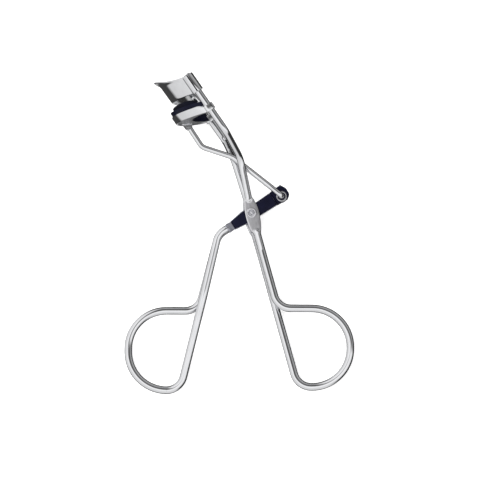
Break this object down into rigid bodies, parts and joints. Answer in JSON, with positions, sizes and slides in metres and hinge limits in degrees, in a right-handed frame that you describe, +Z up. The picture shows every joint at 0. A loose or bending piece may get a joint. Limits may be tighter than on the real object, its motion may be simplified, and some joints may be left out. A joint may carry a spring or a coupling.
{
  "type": "eyelash curler",
  "caption": "Scissor-handled eyelash curler: wire frame with finger rings, fixed curved top jaw, sliding padded lower jaw and the push rod and lever that close it.",
  "frame": {"origin": "middle of the bounding box, on the surface that the curler lies on", "axes": "+Y from the finger rings towards the head, +Z up from the table, +X from the lever's ring towards the frame's ring; the ring plane leans up to the head by 8.7 degrees"},
  "size_m": [0.0752, 0.1054, 0.0324],
  "materials": {
    "wire_chrome": "polished nickel-chrome plating",
    "jaw_chrome": "polished nickel-chrome plating",
    "rivet_steel": "bright turned steel",
    "satin_steel": "satin grey steel",
    "black_cover": "semi-gloss blue-black moulded plastic",
    "black_holder": "semi-gloss blue-black moulded plastic",
    "pad_rubber": "soft black silicone rubber"
  },
  "bodies": {
    "frame": {"right_finger_ring": "wire_chrome", "frame_wire_near": "wire_chrome", "frame_wire_far": "wire_chrome", "top_jaw": "jaw_chrome", "pivot_rivet": "rivet_steel", "pivot_washer_near": "rivet_steel", "pivot_washer_far": "rivet_steel"},
    "lever": {"left_finger_ring": "wire_chrome", "lever_shank_near": "wire_chrome", "lever_shank_far": "wire_chrome", "lever_tang": "satin_steel", "lever_core": "satin_steel", "lever_cover_near": "black_cover", "lever_cover_far": "black_cover", "lever_knob": "black_cover", "hook_eyelet": "jaw_chrome", "pivot_bush": "rivet_steel"},
    "lower_jaw": {"jaw_carrier": "jaw_chrome", "pad_holder": "black_holder", "lash_pad": "pad_rubber", "link_bracket": "jaw_chrome", "bracket_pin": "rivet_steel"},
    "link": {"push_rod": "wire_chrome", "hook_clip": "rivet_steel"}
  },
  "joints": [
    {"name": "lever_pivot", "type": "hinge", "parent": "frame", "child": "lever", "pos_m": [0.004, 0.00608, 0.01048], "axis": [0, -0.1513, 0.9885], "range_deg": [-30, 7]},
    {"name": "jaw_slide", "type": "slide", "parent": "frame", "child": "lower_jaw", "axis": [-0.568, 0.8135, 0.1245], "range_m": [-0.00522, 0.00122]},
    {"name": "link_swing", "type": "hinge", "parent": "lower_jaw", "child": "link", "pos_m": [-0.01673, 0.03468, 0.01486], "axis": [0, -0.1513, 0.9885], "range_deg": [-2.7, 0.7]}
  ],
  "couplings": [
    {"joint": "jaw_slide", "follows": "lever_pivot", "m_per_rad": 0.0097},
    {"joint": "link_swing", "follows": "lever_pivot", "ratio": 0.088}
  ]
}
